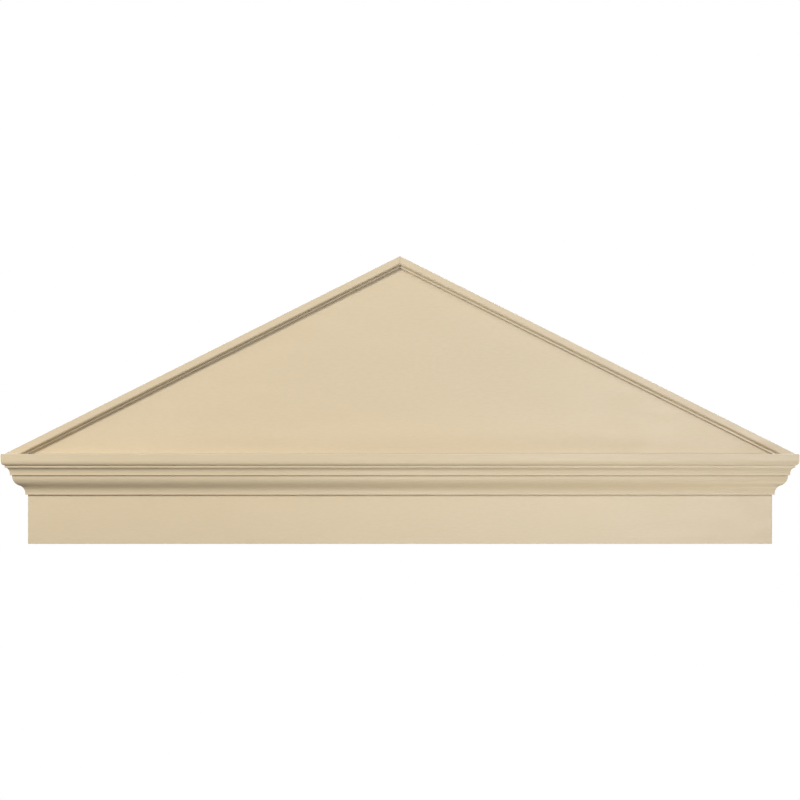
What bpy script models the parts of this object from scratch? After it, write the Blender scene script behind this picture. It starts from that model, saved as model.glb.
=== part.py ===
# Wall-fixed classical pediment: a low gable panel on a moulded cornice and a plain frieze.
#
# It is built the way a joiner builds one. A frieze board carries a cornice moulding on its
# face, with a mitred return wrapped round each end. A gable-shaped tympanum panel stands on
# top of them, and two raking mouldings are planted along its slopes, mitred at the peak and
# cut level at the foot. Everything is solid trim with a flat back against the wall.
#
# Units are metres, +Z is up and the front faces -Y. The origin is the middle of the frieze
# board's back face, on the wall.

from math import atan, cos, radians, sin

import bmesh
import bpy
from mathutils import Vector

for old in list(bpy.data.objects):
    bpy.data.objects.remove(old)

# The whole pediment
FRIEZE_WIDTH = 1.634       # the door or window head that it covers, between the board's ends
FRIEZE_HEIGHT = 0.1078     # what shows of the frieze board below the cornice
SHEET_THICKNESS = 0.019    # trim board that the frieze and the tympanum are cut from
ROOF_PITCH = 0.5           # rise over run of the slopes, a 6 in 12 roof
RAKE_INSET = 0.0081        # from the cornice's end to the foot of the slope
JOINT_GAP = 0.0003         # glue line between neighbouring pieces

# Members of the cornice moulding, from the top down. A rise is measured down the wall, and a
# run or a step is measured back towards it.
FASCIA_HEIGHT = 0.0137
OVOLO_RISE = 0.0108
OVOLO_RUN = 0.0070
FILLET_STEP = 0.0019
FILLET_HEIGHT = 0.0052
COVE_STEP = 0.0016
COVE_RISE = 0.0154
COVE_RUN = 0.0099
COVE_LIP = 0.0015
OGEE_STEP = 0.0048
OGEE_QUIRK = 0.0015
BULGE_RISE = 0.0211        # upper half of the ogee
BULGE_RUN = 0.0165
HOLLOW_RISE = 0.0187       # lower half of the ogee
HOLLOW_RUN = 0.0129
OGEE_LIP = 0.0015
FOOT_STEP = 0.0054         # how far the moulding's lower edge stands off the frieze

# Members of the raking moulding, from the slope's edge inwards
RAKE_FASCIA = 0.0119
RAKE_OVOLO_RISE = 0.0059
RAKE_OVOLO_RUN = 0.0069
RAKE_FILLET_STEP = 0.0039
RAKE_FILLET_WIDTH = 0.0046
RAKE_COVE_STEP = 0.0033
RAKE_COVE_RISE = 0.0027
RAKE_COVE_RUN = 0.0049
RAKE_FOOT_STEP = 0.0018    # how far its inner edge stands off the panel

# Curved members. Each is the part of an ellipse that a sweep from its upright end covers.
QUARTER = radians(90)
OGEE_SWEEP = radians(75)   # sweep of each half of the ogee, which lean alike where they meet
FACET_SWEEP = radians(7)   # most that one facet of a curve covers
SHARP_ANGLE = radians(24)  # edges that turn more than this stay crisp

# Paint: one coat of tan primer all over, the boards a little flatter than the mouldings
PRIMER_COLOUR = (0.69, 0.57, 0.405, 1.0)
BOARD_ROUGHNESS = 0.55
MOULDING_ROUGHNESS = 0.45


# Profiles. A profile is a list of (stand-off from the board, height) points, drawn like a
# pencil line from the top front corner down to the board's face.


def drop(line, height):
    """Draws straight down."""
    stand_off, z = line[-1]
    line.append((stand_off, z - height))


def step(line, depth):
    """Draws straight back towards the board."""
    stand_off, z = line[-1]
    line.append((stand_off - depth, z))


def arc(run, rise, sweep):
    """Points along a curved member, from its upright end, as (set-back, distance in height)."""
    depth = run / (1 - cos(sweep))
    height = rise / sin(sweep)
    facets = round(sweep / FACET_SWEEP) + 1
    turns = [sweep * i / facets for i in range(facets + 1)]
    return [(depth * (1 - cos(turn)), height * sin(turn)) for turn in turns]


def ovolo(line, run, rise, sweep=QUARTER):
    """Draws a bulge that starts upright and rolls back under."""
    stand_off, z = line[-1]
    for back, down in arc(run, rise, sweep)[1:]:
        line.append((stand_off - back, z - down))


def cove(line, run, rise, sweep=QUARTER):
    """Draws a hollow that starts leaning back and ends upright."""
    stand_off, z = line[-1]
    for out, up in reversed(arc(run, rise, sweep)[:-1]):
        line.append((stand_off - run + out, z - rise + up))


def cornice_profile():
    line = [(CORNICE_PROJECTION, 0.0)]
    drop(line, FASCIA_HEIGHT)
    ovolo(line, OVOLO_RUN, OVOLO_RISE)
    step(line, FILLET_STEP)
    drop(line, FILLET_HEIGHT)
    step(line, COVE_STEP)
    cove(line, COVE_RUN, COVE_RISE)
    drop(line, COVE_LIP)
    step(line, OGEE_STEP)
    drop(line, OGEE_QUIRK)
    ovolo(line, BULGE_RUN, BULGE_RISE, OGEE_SWEEP)
    cove(line, HOLLOW_RUN, HOLLOW_RISE, OGEE_SWEEP)
    drop(line, OGEE_LIP)
    step(line, FOOT_STEP)
    return line


def raking_profile():
    line = [(RAKE_RELIEF, 0.0)]
    drop(line, RAKE_FASCIA)
    ovolo(line, RAKE_OVOLO_RUN, RAKE_OVOLO_RISE)
    step(line, RAKE_FILLET_STEP)
    drop(line, RAKE_FILLET_WIDTH)
    step(line, RAKE_COVE_STEP)
    cove(line, RAKE_COVE_RUN, RAKE_COVE_RISE)
    step(line, RAKE_FOOT_STEP)
    return line


# Sizes that follow from the ones above
CORNICE_HEIGHT = (
    FASCIA_HEIGHT + OVOLO_RISE + FILLET_HEIGHT + COVE_RISE + COVE_LIP
    + OGEE_QUIRK + BULGE_RISE + HOLLOW_RISE + OGEE_LIP
)
CORNICE_PROJECTION = (
    OVOLO_RUN + FILLET_STEP + COVE_STEP + COVE_RUN + OGEE_STEP
    + BULGE_RUN + HOLLOW_RUN + FOOT_STEP
)
RAKE_RELIEF = (
    RAKE_OVOLO_RUN + RAKE_FILLET_STEP + RAKE_COVE_STEP + RAKE_COVE_RUN + RAKE_FOOT_STEP
)
FRIEZE_BOARD_HEIGHT = FRIEZE_HEIGHT + CORNICE_HEIGHT
CORNICE_TOP = FRIEZE_BOARD_HEIGHT / 2      # the origin is half-way up the frieze board
BOARD_FACE = -SHEET_THICKNESS
PITCH_ANGLE = atan(ROOF_PITCH)
FRIEZE_END = FRIEZE_WIDTH / 2
CORNICE_END = FRIEZE_END + CORNICE_PROJECTION
GABLE_FOOT = CORNICE_END - RAKE_INSET      # half the width of the slopes at their feet
GABLE_BASE = CORNICE_TOP + JOINT_GAP
GABLE_RISE = GABLE_FOOT * ROOF_PITCH
MITRE_ALLOWANCE = 0.05                     # length run past each cut before sawing
MITRE = radians(45)
MITRE_HEEL = JOINT_GAP * (1 - cos(MITRE))  # from the frieze's corner to a mitre's back edge
PEAK_GAP = JOINT_GAP / 2 / cos(PITCH_ANGLE)  # along the slope, from the peak to each plumb cut


def paint(name, roughness):
    """Tan primer on cellular trim, semi-matt."""
    material = bpy.data.materials.new(name)
    material.use_nodes = True
    shader = material.node_tree.nodes["Principled BSDF"]
    shader.inputs["Base Color"].default_value = PRIMER_COLOUR
    shader.inputs["Roughness"].default_value = roughness
    shader.inputs["Metallic"].default_value = 0.0
    material.diffuse_color = PRIMER_COLOUR
    return material


def extruded(outline, along):
    """A closed bar: the outline as one face, swept along a vector."""
    bar = bmesh.new()
    end = bar.faces.new([bar.verts.new(point) for point in outline])
    swept = bmesh.ops.extrude_face_region(bar, geom=[end])
    moved = [item for item in swept["geom"] if isinstance(item, bmesh.types.BMVert)]
    bmesh.ops.translate(bar, verts=moved, vec=along)
    bmesh.ops.recalc_face_normals(bar, faces=bar.faces)
    return bar


def saw(bar, point, waste_side):
    """Cuts the bar square through along a plane and closes the cut."""
    whole = list(bar.verts) + list(bar.edges) + list(bar.faces)
    cut = bmesh.ops.bisect_plane(
        bar, geom=whole, dist=1e-7, plane_co=point, plane_no=waste_side, clear_outer=True
    )
    rim = [item for item in cut["geom_cut"] if isinstance(item, bmesh.types.BMEdge)]
    bmesh.ops.edgeloop_fill(bar, edges=rim)
    bmesh.ops.recalc_face_normals(bar, faces=bar.faces)


def piece(name, solid, material, location=(0, 0, 0), rotation=(0, 0, 0)):
    """Turns a finished solid into a named object on the pediment."""
    mesh = bpy.data.meshes.new(name)
    solid.to_mesh(mesh)
    solid.free()
    mesh.materials.append(material)
    mesh.shade_smooth()
    mesh.set_sharp_from_angle(angle=SHARP_ANGLE)
    made = bpy.data.objects.new(name, mesh)
    made.location = location
    made.rotation_euler = rotation
    made.parent = pediment
    bpy.context.scene.collection.objects.link(made)
    return made


def moulding(profile, start, end):
    """A length of moulding along local X, its back on the XZ plane and its front towards -Y."""
    outline = [(start, -stand_off, z) for stand_off, z in profile]
    outline.append((start, 0.0, 0.0))
    return extruded(outline, Vector((end - start, 0, 0)))


def make_frieze_board():
    """The board behind the cornice. Its lower part shows as the frieze."""
    outline = [
        (-FRIEZE_END, 0, -CORNICE_TOP),
        (FRIEZE_END, 0, -CORNICE_TOP),
        (FRIEZE_END, 0, CORNICE_TOP),
        (-FRIEZE_END, 0, CORNICE_TOP),
    ]
    board = extruded(outline, Vector((0, BOARD_FACE, 0)))
    piece("frieze_board", board, board_paint)


def make_tympanum_panel():
    """The gable-shaped panel that stands on the frieze board and the returns."""
    outline = [
        (-GABLE_FOOT, 0, GABLE_BASE),
        (GABLE_FOOT, 0, GABLE_BASE),
        (0, 0, GABLE_BASE + GABLE_RISE),
    ]
    panel = extruded(outline, Vector((0, BOARD_FACE, 0)))
    piece("tympanum_panel", panel, board_paint)


def make_cornice():
    """The cornice moulding across the front, mitred at both ends."""
    reach = CORNICE_END + MITRE_ALLOWANCE
    bar = moulding(cornice_profile(), -reach, reach)
    # The mitres run at 45 degrees out from the frieze board's front corners.
    for side in (-1, 1):
        corner = (side * (FRIEZE_END + MITRE_HEEL), 0, 0)
        saw(bar, corner, (side * cos(MITRE), sin(MITRE), 0))
    piece("cornice_front", bar, moulding_paint, (0, BOARD_FACE - JOINT_GAP, CORNICE_TOP))


def make_cornice_returns():
    """The short mitred lengths that carry the cornice back to the wall at each end."""
    for side, name in ((-1, "cornice_return_left"), (1, "cornice_return_right")):
        # Seen from its own front, the left return runs from the wall at local x = 0 to its
        # mitre on the right, and the right return is the other way round.
        far_end = -side * (SHEET_THICKNESS + CORNICE_PROJECTION + MITRE_ALLOWANCE)
        bar = moulding(cornice_profile(), min(0.0, far_end), max(0.0, far_end))
        corner = (-side * (SHEET_THICKNESS + MITRE_HEEL), 0, 0)
        saw(bar, corner, (-side * cos(MITRE), sin(MITRE), 0))
        place = (side * (FRIEZE_END + JOINT_GAP), 0, CORNICE_TOP)
        piece(name, bar, moulding_paint, place, (0, 0, side * radians(90)))


def make_raking_mouldings():
    """The mouldings planted on the panel along its slopes."""
    slope_length = GABLE_FOOT / cos(PITCH_ANGLE)
    for side, name in ((-1, "raking_moulding_left"), (1, "raking_moulding_right")):
        # Local x runs along the slope from the foot, at 0, to the peak on the other side.
        peak = -side * slope_length
        ends = (side * MITRE_ALLOWANCE, peak - side * MITRE_ALLOWANCE)
        bar = moulding(raking_profile(), min(ends), max(ends))
        level_cut = (side * sin(PITCH_ANGLE), 0, -cos(PITCH_ANGLE))
        plumb_cut = (-side * cos(PITCH_ANGLE), 0, -sin(PITCH_ANGLE))
        saw(bar, (0, 0, 0), level_cut)
        saw(bar, (peak + side * PEAK_GAP, 0, 0), plumb_cut)
        foot = (side * GABLE_FOOT, BOARD_FACE - JOINT_GAP, GABLE_BASE)
        piece(name, bar, moulding_paint, foot, (0, side * PITCH_ANGLE, 0))


pediment = bpy.data.objects.new("pediment", None)
bpy.context.scene.collection.objects.link(pediment)
board_paint = paint("board_primer", BOARD_ROUGHNESS)
moulding_paint = paint("moulding_primer", MOULDING_ROUGHNESS)

make_frieze_board()
make_tympanum_panel()
make_cornice()
make_cornice_returns()
make_raking_mouldings()
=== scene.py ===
from math import atan2, cos, radians, sin

import bmesh
import bpy
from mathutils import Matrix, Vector


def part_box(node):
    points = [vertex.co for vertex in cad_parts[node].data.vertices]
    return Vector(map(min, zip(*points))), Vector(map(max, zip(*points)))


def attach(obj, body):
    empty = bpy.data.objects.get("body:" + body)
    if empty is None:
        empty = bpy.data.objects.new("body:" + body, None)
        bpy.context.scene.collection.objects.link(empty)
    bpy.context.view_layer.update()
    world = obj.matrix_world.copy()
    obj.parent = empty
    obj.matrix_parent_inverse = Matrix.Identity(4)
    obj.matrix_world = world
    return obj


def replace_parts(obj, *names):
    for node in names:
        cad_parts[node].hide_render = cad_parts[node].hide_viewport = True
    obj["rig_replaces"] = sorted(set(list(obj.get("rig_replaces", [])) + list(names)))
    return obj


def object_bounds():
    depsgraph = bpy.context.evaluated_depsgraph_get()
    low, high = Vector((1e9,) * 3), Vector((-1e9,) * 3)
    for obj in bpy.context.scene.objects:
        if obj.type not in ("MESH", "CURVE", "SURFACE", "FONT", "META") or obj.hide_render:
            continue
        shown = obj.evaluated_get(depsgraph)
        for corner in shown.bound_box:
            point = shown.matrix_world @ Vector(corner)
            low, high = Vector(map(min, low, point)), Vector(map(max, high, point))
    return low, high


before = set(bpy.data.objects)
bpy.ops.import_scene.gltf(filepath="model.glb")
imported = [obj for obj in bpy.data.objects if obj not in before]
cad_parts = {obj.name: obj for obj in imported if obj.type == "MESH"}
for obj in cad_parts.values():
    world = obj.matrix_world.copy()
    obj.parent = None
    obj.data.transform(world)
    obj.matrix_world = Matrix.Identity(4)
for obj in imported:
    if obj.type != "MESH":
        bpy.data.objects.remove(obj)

cad_low, cad_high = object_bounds()


# The camera stands square to the front and far off, as for a catalogue picture, so the
# cornice's shelf and undersides are seen edge-on. The pediment fills the picture's width.
PICTURE_WIDTH = 800.0      # pixels
PEDIMENT_SPAN = 798.8      # pixels between the cornice's two ends
CAMERA_DISTANCE = 4.0

middle = (cad_low + cad_high) / 2
bpy.ops.object.camera_add(
    location=(middle.x, cad_low.y - CAMERA_DISTANCE, middle.z), rotation=(radians(90), 0, 0)
)
camera = bpy.context.object
camera.name = "camera"
camera.data.type = "ORTHO"
camera.data.ortho_scale = (cad_high.x - cad_low.x) * PICTURE_WIDTH / PEDIMENT_SPAN
bpy.context.scene.camera = camera


# The studio is a pale floor under the pediment and a white backdrop. The floor shows in the
# views from above. It throws no light back, and doesn't shade the lamps that stand lower.
FLOOR_SIZE = 60.0
FLOOR_CLEARANCE = 0.001
FLOOR_COLOUR = (0.8, 0.8, 0.79)
FLOOR_ROUGHNESS = 0.7

bpy.ops.mesh.primitive_plane_add(
    size=FLOOR_SIZE, location=(middle.x, middle.y, cad_low.z - FLOOR_CLEARANCE)
)
floor = bpy.context.object
floor.name = "floor"
floor.visible_diffuse = False
floor.visible_glossy = False
floor.visible_shadow = False
floor_paint = bpy.data.materials.new("floor_paint")
floor_paint.use_nodes = True
floor_shader = floor_paint.node_tree.nodes["Principled BSDF"]
floor_shader.inputs["Base Color"].default_value = (*FLOOR_COLOUR, 1.0)
floor_shader.inputs["Roughness"].default_value = FLOOR_ROUGHNESS
floor.data.materials.append(floor_paint)


# Studio light: softboxes stand in a ring round the pediment's front, and the strong ones at
# the left draw its shadow lines. Three small ones, low down, light the undersides. The one
# behind is for the views of the back.
AMBIENT = 0.02             # strength of the light from all round
BACKDROP_WHITE = 1.0       # brightness of the backdrop as the camera sees it
RING = 3.0                 # metres from the pediment to the softboxes in the ring
SOFTBOX = 0.62             # side of a softbox in the ring
LOW_SOFTBOX = 0.35
UNDER_SOFTBOX = 0.27
BACK_SOFTBOX = 2.0
pediment_heart = Vector((0.0, 0.0, 0.15))
frieze_middle = Vector((0.0, 0.0, 0.0))
frieze_right = Vector((0.48, 0.0, 0.0))


def softbox(name, place, power, size=SOFTBOX, aim=pediment_heart):
    """A square softbox at a place, turned towards a point of the pediment."""
    bpy.ops.object.light_add(type="AREA", location=place)
    light = bpy.context.object
    light.name = name
    light.data.shape = "SQUARE"
    light.data.size = size
    light.data.energy = power
    light.rotation_euler = (aim - Vector(place)).to_track_quat("-Z", "Y").to_euler()


def on_ring(azimuth, elevation):
    """A place on the ring, so many degrees to the right of the camera and above it."""
    across, up = radians(azimuth), radians(elevation)
    towards = Vector((sin(across) * cos(up), -cos(across) * cos(up), sin(up)))
    return pediment_heart + RING * towards


softbox("side_light", on_ring(-72, 5), 12.0)
softbox("left_light", on_ring(-50, 10), 27.3)
softbox("high_left_light", on_ring(-30, 26), 36.3)
softbox("high_right_light", on_ring(14, 26), 16.0)
softbox("high_light", on_ring(14, 45), 13.2)
softbox("front_light", on_ring(14, 0), 12.6)
softbox("right_light", on_ring(30, 10), 13.3)
softbox("low_light", (0.0, -0.9, -0.4), 0.95, LOW_SOFTBOX, frieze_middle)
softbox("low_right_light", (0.6, -0.9, -0.4), 0.95, LOW_SOFTBOX, frieze_right)
softbox("under_light", (1.4, -0.12, -1.8), 32.5, UNDER_SOFTBOX)
softbox("back_light", (0.8, 3.0, 1.8), 80.0, BACK_SOFTBOX)

world = bpy.data.worlds.new("studio")
world.use_nodes = True
bpy.context.scene.world = world
sky = world.node_tree
fill = sky.nodes["Background"]
fill.inputs["Color"].default_value = (1.0, 1.0, 1.0, 1.0)
fill.inputs["Strength"].default_value = AMBIENT
backdrop = sky.nodes.new("ShaderNodeBackground")
backdrop.inputs["Color"].default_value = (1.0, 1.0, 1.0, 1.0)
backdrop.inputs["Strength"].default_value = BACKDROP_WHITE
seen = sky.nodes.new("ShaderNodeLightPath")
either = sky.nodes.new("ShaderNodeMixShader")
sky.links.new(seen.outputs["Is Camera Ray"], either.inputs["Fac"])
sky.links.new(fill.outputs["Background"], either.inputs[1])
sky.links.new(backdrop.outputs["Background"], either.inputs[2])
sky.links.new(either.outputs["Shader"], sky.nodes["World Output"].inputs["Surface"])
bpy.context.scene.view_settings.view_transform = "Standard"


# The frieze board is a length of foamed trim board, sawn square, its arrises eased with
# sandpaper and sprayed with tan primer. It is glued and screwed to the wall, and its upper
# part is hidden behind the cornice.
BOARD_ARRIS = 0.0007       # radius of an eased edge
BOARD_GLOSS = 0.36         # roughness of the dry primer on a board
BOARD_GRAIN = (0.25, 1.0, 1.0)
PRIMER = (0.562, 0.460, 0.308)
PRIMER_THIN = (0.550, 0.449, 0.298)
BARE_BOARD = (0.735, 0.700, 0.640)
PRIMER_SHEEN = 0.70        # strength of the primer's reflections
COAT_PATCHES = 14.0        # the scale of each pattern: the higher, the finer
DRIFT_PATCHES = 6.0
DRY_PATCHES = 45.0
DROPLETS = 260.0
RUN_LINES = 240.0
ORANGE_PEEL = 380.0
RELIEF_HEIGHT = 0.00006    # of the orange peel and of the lines
REAR_FACING = 0.9          # a face whose normal has more Y than this is on the back
SMOOTH_ANGLE = radians(30)  # faces that meet at less are shaded as one curve


def primer(name, roughness, grain):
    """Sprayed tan primer. The grain stretches its pattern along X, Y and Z, as brush or
    extrusion lines would run."""
    material = bpy.data.materials.new(name)
    material.use_nodes = True
    tree = material.node_tree
    shader = tree.nodes["Principled BSDF"]

    def node(kind, **settings):
        made = tree.nodes.new(kind)
        for key, value in settings.items():
            setattr(made, key, value)
        return made

    def noise(scale, detail, source):
        """A cloudy pattern of the given scale."""
        made = node("ShaderNodeTexNoise")
        made.inputs["Scale"].default_value = scale
        made.inputs["Detail"].default_value = detail
        tree.links.new(source, made.inputs["Vector"])
        return made.outputs["Fac"]

    def spread(factor, low, high):
        """Spreads the middle of a pattern between two values."""
        made = node("ShaderNodeMapRange")
        made.inputs["From Min"].default_value = 0.3
        made.inputs["From Max"].default_value = 0.7
        made.inputs["To Min"].default_value = low
        made.inputs["To Max"].default_value = high
        tree.links.new(factor, made.inputs["Value"])
        return made.outputs["Result"]

    place = node("ShaderNodeTexCoord").outputs["Object"]
    stretch = node("ShaderNodeMapping")
    stretch.inputs["Scale"].default_value = grain
    tree.links.new(place, stretch.inputs["Vector"])
    along = stretch.outputs["Vector"]

    # Colour: the coat varies in thickness over a hand's width, and again over a few
    # millimetres, where it is a mist of droplets.
    coat = node("ShaderNodeMix", data_type="RGBA")
    coat.inputs["A"].default_value = (*PRIMER_THIN, 1.0)
    coat.inputs["B"].default_value = (*PRIMER, 1.0)
    tree.links.new(spread(noise(COAT_PATCHES, 3.0, along), 0.2, 1.0), coat.inputs["Factor"])
    mist = node("ShaderNodeMix", data_type="RGBA", blend_type="MULTIPLY")
    mist.inputs["Factor"].default_value = 1.0
    tree.links.new(coat.outputs["Result"], mist.inputs["A"])
    tree.links.new(spread(noise(DROPLETS, 2.0, along), 0.975, 1.015), mist.inputs["B"])

    # The back got only what drifted round the edges, so the foam shows through in places.
    facing = node("ShaderNodeNewGeometry").outputs["True Normal"]
    axes = node("ShaderNodeSeparateXYZ")
    tree.links.new(facing, axes.inputs["Vector"])
    rear = node("ShaderNodeMath", operation="GREATER_THAN")
    rear.inputs[1].default_value = REAR_FACING
    tree.links.new(axes.outputs["Y"], rear.inputs[0])
    thin = node("ShaderNodeMath", operation="MULTIPLY")
    tree.links.new(rear.outputs["Value"], thin.inputs[0])
    tree.links.new(spread(noise(DRIFT_PATCHES, 4.0, place), 0.15, 0.6), thin.inputs[1])
    bare = node("ShaderNodeMix", data_type="RGBA")
    bare.inputs["B"].default_value = (*BARE_BOARD, 1.0)
    tree.links.new(thin.outputs["Value"], bare.inputs["Factor"])
    tree.links.new(mist.outputs["Result"], bare.inputs["A"])
    tree.links.new(bare.outputs["Result"], shader.inputs["Base Color"])

    # Gloss: a little duller where the coat is dry.
    tree.links.new(
        spread(noise(DRY_PATCHES, 2.0, along), roughness - 0.03, roughness + 0.04),
        shader.inputs["Roughness"],
    )
    shader.inputs["Specular IOR Level"].default_value = PRIMER_SHEEN

    # Relief: orange peel from the spray gun, over faint lines along the run.
    peel = node("ShaderNodeBump")
    peel.inputs["Strength"].default_value = 0.35
    peel.inputs["Distance"].default_value = RELIEF_HEIGHT
    tree.links.new(noise(ORANGE_PEEL, 2.0, place), peel.inputs["Height"])
    lines = node("ShaderNodeBump")
    lines.inputs["Strength"].default_value = 0.3
    lines.inputs["Distance"].default_value = RELIEF_HEIGHT
    tree.links.new(noise(RUN_LINES, 2.0, along), lines.inputs["Height"])
    tree.links.new(peel.outputs["Normal"], lines.inputs["Normal"])
    tree.links.new(lines.outputs["Normal"], shader.inputs["Normal"])
    return material


def shade(piece):
    """Shades curves and eased edges as round, and the broad faces between them as flat."""
    bpy.ops.object.shade_smooth_by_angle(angle=SMOOTH_ANGLE)
    weights = piece.modifiers.new("flat_faces", "WEIGHTED_NORMAL")
    weights.keep_sharp = True
    weights.weight = 100
    bpy.ops.object.modifier_apply(modifier=weights.name)


def finish_piece(piece, paint, slot, *nodes):
    """Puts the piece's place into its mesh, paints it and stands it in for its CAD nodes."""
    bpy.ops.object.transform_apply(location=True, rotation=True, scale=True)
    piece.data.materials.append(paint)
    shade(piece)
    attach(piece, "root")
    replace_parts(piece, *nodes)


board_primer = primer("board_primer", BOARD_GLOSS, BOARD_GRAIN)
low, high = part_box("frieze_board")
bpy.ops.object.select_all(action="DESELECT")
bpy.ops.mesh.primitive_cube_add(size=1, location=(low + high) / 2, scale=high - low)
frieze = bpy.context.object
frieze.name = "frieze"
bpy.ops.object.transform_apply(location=True, rotation=True, scale=True)
bpy.ops.object.mode_set(mode="EDIT")
bpy.ops.mesh.select_all(action="SELECT")
bpy.ops.mesh.bevel(offset=BOARD_ARRIS, segments=3, affect="EDGES")
bpy.ops.object.mode_set(mode="OBJECT")
finish_piece(frieze, board_primer, "board", "frieze_board")


# The cornice is one moulding, machined in a long length and mitred round the frieze: a run
# across the front and a short return at each end, glued to the board's face and edges. Its
# members are drawn from the fascia's lower edge downwards, as in the profile on paper.
FASCIA_HEIGHT = 0.0137
OVOLO = (0.0070, 0.0108)   # run back and fall of each curved member
COVE = (0.0099, 0.0154)
BULGE = (0.0165, 0.0211)   # the ogee's upper half
HOLLOW = (0.0129, 0.0187)  # the ogee's lower half
OGEE_SWEEP = radians(75)   # sweep of each half of the ogee
QUARTER = radians(90)      # sweep of the other curved members
FILLET_STEP = 0.0019
FILLET_HEIGHT = 0.0052
COVE_STEP = 0.0016
COVE_LIP = 0.0015
OGEE_STEP = 0.0048
OGEE_QUIRK = 0.0015
OGEE_LIP = 0.0015
FOOT_STEP = 0.0054
CURVE_STEP = radians(4)    # sweep of each facet in a curved member
HAIR = 0.000001            # closer than this, two heights are the same
WELD = 0.00001             # corners closer than this become one
MATCH = 0.0001             # closer than this, a corner is at the place that is looked for
MOULDING_ARRIS = 0.0004    # radius of an eased edge
EASED_FROM = radians(35)   # a long edge that turns by more is eased
LENGTHWAYS = 0.9           # a long edge has over this share of its length along X
MOULDING_GLOSS = 0.35
MOULDING_GRAIN = (0.12, 1.0, 1.0)
OVERRUN = 0.02             # spare length past each saw cut


def flat_member(back, fall):
    """Draws a flat member from the selected edge."""
    bpy.ops.mesh.extrude_region_move(TRANSFORM_OT_translate={"value": (0, back, -fall)})


def select_edges(wanted):
    """Selects the edges of the mesh in hand that pass a test."""
    bpy.ops.mesh.select_mode(type="EDGE")
    bpy.ops.mesh.select_all(action="DESELECT")
    mesh = bmesh.from_edit_mesh(bpy.context.object.data)
    for edge in mesh.edges:
        if wanted(edge):
            edge.select = True
    mesh.select_flush_mode()
    bmesh.update_edit_mesh(bpy.context.object.data)


def curved_member(back, fall, sweep, hollow=False):
    """Draws a curved member from the selected edge, as a part of a circle that is then drawn
    out to an ellipse: a bulge that starts upright, or a hollow that ends upright."""
    mesh = bmesh.from_edit_mesh(bpy.context.object.data)
    pencil = next(corner.co for corner in mesh.verts if corner.select).copy()
    radius = fall / sin(sweep)
    depth = radius * (1 - cos(sweep))
    if hollow:
        centre = (0, pencil.y + depth - radius, pencil.z - fall)
    else:
        centre = (0, pencil.y + radius, pencil.z)
    turn = sweep if hollow else -sweep
    bpy.ops.mesh.spin(
        steps=round(sweep / CURVE_STEP), angle=turn, center=centre, axis=(1, 0, 0)
    )
    select_edges(lambda edge: all(end.co.z < pencil.z - HAIR for end in edge.verts))
    bpy.ops.transform.resize(value=(1, back / depth, 1), center_override=pencil)
    foot = pencil.z - fall
    select_edges(lambda edge: all(abs(end.co.z - foot) < HAIR for end in edge.verts))


def start_moulding(name, left, right, face, top, fascia_height):
    """A strip along X for the moulding's fascia, with its lower edge selected."""
    bpy.ops.object.select_all(action="DESELECT")
    bpy.ops.mesh.primitive_plane_add(
        size=1,
        location=((left + right) / 2, face, top - fascia_height / 2),
        rotation=(radians(90), 0, 0),
    )
    strip = bpy.context.object
    strip.name = name
    strip.scale = (right - left, fascia_height, 1)
    bpy.ops.object.transform_apply(location=True, rotation=True, scale=True)
    bpy.ops.object.mode_set(mode="EDIT")
    select_edges(lambda edge: all(end.co.z < top - fascia_height / 2 for end in edge.verts))
    return strip


def close_moulding(back, top, face):
    """Carries the drawn profile up the back and over the top to the fascia, and fills the
    two ends."""
    mesh = bmesh.from_edit_mesh(bpy.context.object.data)
    foot = next(corner.co for corner in mesh.verts if corner.select).z
    bpy.ops.mesh.extrude_region_move(TRANSFORM_OT_translate={"value": (0, 0, top - foot)})
    bpy.ops.mesh.extrude_region_move(TRANSFORM_OT_translate={"value": (0, face - back, 0)})
    bpy.ops.mesh.select_all(action="SELECT")
    bpy.ops.mesh.remove_doubles(threshold=WELD)
    for end in (min, max):
        mesh = bmesh.from_edit_mesh(bpy.context.object.data)
        reach = end(corner.co.x for corner in mesh.verts)
        select_edges(lambda edge: all(abs(tip.co.x - reach) < MATCH for tip in edge.verts))
        bpy.ops.mesh.edge_face_add()
    bpy.ops.mesh.select_all(action="SELECT")
    bpy.ops.mesh.normals_make_consistent(inside=False)


def ease_arrises(radius):
    """Rounds the moulding's long outer corners."""
    select_edges(
        lambda edge: edge.is_manifold
        and edge.calc_face_angle_signed() > EASED_FROM
        and abs(edge.verts[0].co.x - edge.verts[1].co.x) > edge.calc_length() * LENGTHWAYS
    )
    bpy.ops.mesh.bevel(offset=radius, segments=2, affect="EDGES")


def saw(point, waste_side):
    """Cuts the length through along a plane and closes the cut."""
    bpy.ops.mesh.select_all(action="SELECT")
    bpy.ops.mesh.bisect(
        plane_co=point, plane_no=waste_side, use_fill=True, clear_outer=True, threshold=HAIR
    )


def draw_cornice(name, left, right, face, top):
    """A length of the cornice moulding along X, with its fascia at the given face."""
    length = start_moulding(name, left, right, face, top, FASCIA_HEIGHT)
    curved_member(*OVOLO, QUARTER)
    flat_member(FILLET_STEP, 0)
    flat_member(0, FILLET_HEIGHT)
    flat_member(COVE_STEP, 0)
    curved_member(*COVE, QUARTER, hollow=True)
    flat_member(0, COVE_LIP)
    flat_member(OGEE_STEP, 0)
    flat_member(0, OGEE_QUIRK)
    curved_member(*BULGE, OGEE_SWEEP)
    curved_member(*HOLLOW, OGEE_SWEEP, hollow=True)
    flat_member(0, OGEE_LIP)
    flat_member(FOOT_STEP, 0)
    mesh = bmesh.from_edit_mesh(length.data)
    back = next(corner.co for corner in mesh.verts if corner.select).y
    close_moulding(back, top, face)
    ease_arrises(MOULDING_ARRIS)
    return length


moulding_primer = primer("moulding_primer", MOULDING_GLOSS, MOULDING_GRAIN)

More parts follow.
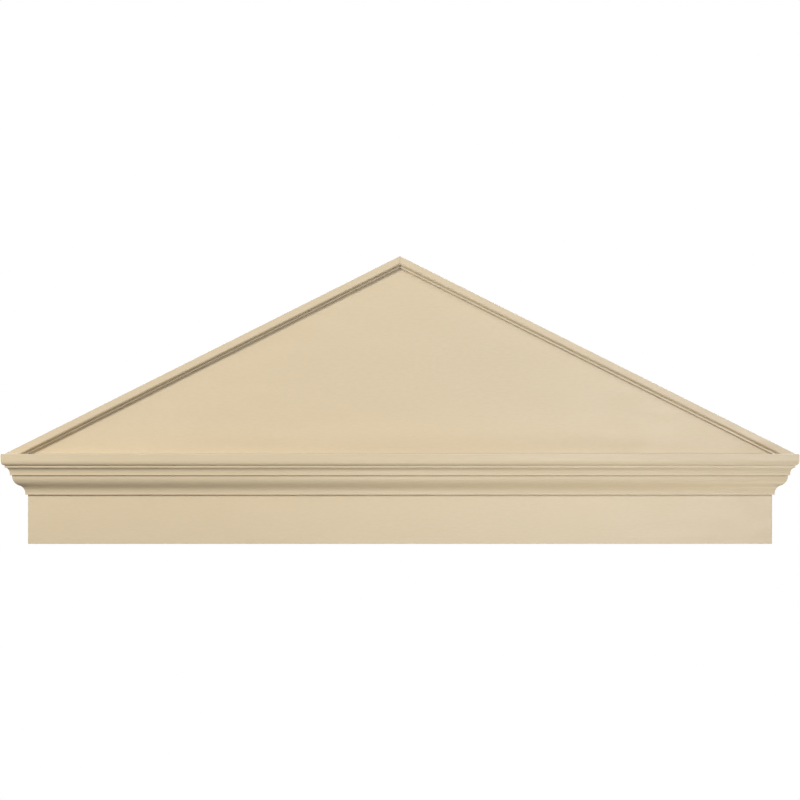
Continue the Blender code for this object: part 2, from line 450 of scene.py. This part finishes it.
low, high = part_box("cornice_front")
front = draw_cornice("cornice_run", low.x - OVERRUN, high.x + OVERRUN, low.y, high.z)
saw((low.x, low.y, 0), (-1, 1, 0))
saw((high.x, low.y, 0), (1, 1, 0))
bpy.ops.object.mode_set(mode="OBJECT")
finish_piece(front, moulding_primer, "moulding", "cornice_front")

# The right return is drawn as if it faced the front, then swung round to face right. The
# left one is its mirror image.
low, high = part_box("cornice_return_right")
right_return = draw_cornice("cornice_end_right", low.y - OVERRUN, high.y, -high.x, high.z)
saw((low.y, -high.x, 0), (-1, 1, 0))
bpy.ops.object.mode_set(mode="OBJECT")
right_return.rotation_euler = (0, 0, radians(90))
finish_piece(right_return, moulding_primer, "moulding", "cornice_return_right")


def mirrored(piece, name, node):
    """A copy of a piece, with its own mesh, on the other side of the centre line."""
    bpy.ops.object.select_all(action="DESELECT")
    piece.select_set(True)
    bpy.context.view_layer.objects.active = piece
    bpy.ops.object.duplicate(linked=False)
    copy = bpy.context.object
    copy.name = name
    copy.scale = (-1, 1, 1)
    bpy.ops.object.transform_apply(location=True, rotation=True, scale=True)
    bpy.ops.object.mode_set(mode="EDIT")
    bpy.ops.mesh.select_all(action="SELECT")
    bpy.ops.mesh.normals_make_consistent(inside=False)
    bpy.ops.object.mode_set(mode="OBJECT")
    shade(copy)
    del copy["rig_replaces"]
    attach(copy, "root")
    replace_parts(copy, node)
    return copy


mirrored(right_return, "cornice_end_left", "cornice_return_left")


# The tympanum panel is sawn from the same board as the frieze, to the pitch of the slopes. It
# stands on the frieze board and the returns, and its front is in line with the frieze.
low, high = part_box("tympanum_panel")
bpy.ops.object.select_all(action="DESELECT")
bpy.ops.mesh.primitive_cube_add(size=1, location=(low + high) / 2, scale=high - low)
panel = bpy.context.object
panel.name = "tympanum"
bpy.ops.object.transform_apply(location=True, rotation=True, scale=True)
bpy.ops.object.mode_set(mode="EDIT")
# The two top corners of each face are drawn together into the peak.
for face_y in (low.y, high.y):
    select_edges(
        lambda edge: all(
            end.co.z > high.z - MATCH and abs(end.co.y - face_y) < MATCH for end in edge.verts
        )
    )
    bpy.ops.mesh.merge(type="CENTER")
bpy.ops.mesh.select_all(action="SELECT")
bpy.ops.mesh.bevel(offset=BOARD_ARRIS, segments=3, affect="EDGES")
bpy.ops.object.mode_set(mode="OBJECT")
finish_piece(panel, board_primer, "board", "tympanum_panel")


# The raking mouldings are a smaller section of the same family, planted on the panel along
# its slopes with glue and pins. Each is cut level where it lands on the cornice and plumb
# where the two meet at the peak.
RAKE_FASCIA = 0.0119
RAKE_OVOLO = (0.0069, 0.0059)
RAKE_COVE = (0.0049, 0.0027)
RAKE_FILLET_STEP = 0.0039
RAKE_FILLET_WIDTH = 0.0046
RAKE_COVE_STEP = 0.0033
RAKE_FOOT_STEP = 0.0018
RAKE_ARRIS = 0.0002

low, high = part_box("raking_moulding_right")
panel_low, panel_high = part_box("tympanum_panel")
pitch = atan2(panel_high.z - panel_low.z, panel_high.x)
foot = Vector((panel_high.x, 0, panel_low.z))
slope = foot.x / cos(pitch)
rake = start_moulding(
    "raking_trim_right", foot.x - slope - OVERRUN, foot.x + OVERRUN, low.y, foot.z, RAKE_FASCIA
)
curved_member(*RAKE_OVOLO, QUARTER)
flat_member(RAKE_FILLET_STEP, 0)
flat_member(0, RAKE_FILLET_WIDTH)
flat_member(RAKE_COVE_STEP, 0)
curved_member(*RAKE_COVE, QUARTER, hollow=True)
flat_member(RAKE_FOOT_STEP, 0)
close_moulding(high.y, foot.z, low.y)
ease_arrises(RAKE_ARRIS)
bpy.ops.mesh.select_all(action="SELECT")
bpy.ops.transform.rotate(value=-pitch, orient_axis="Y", center_override=foot)
saw((0, 0, low.z), (0, 0, -1))
saw((low.x, 0, 0), (-1, 0, 0))
bpy.ops.object.mode_set(mode="OBJECT")
finish_piece(rake, moulding_primer, "moulding", "raking_moulding_right")
mirrored(rake, "raking_trim_left", "raking_moulding_left")
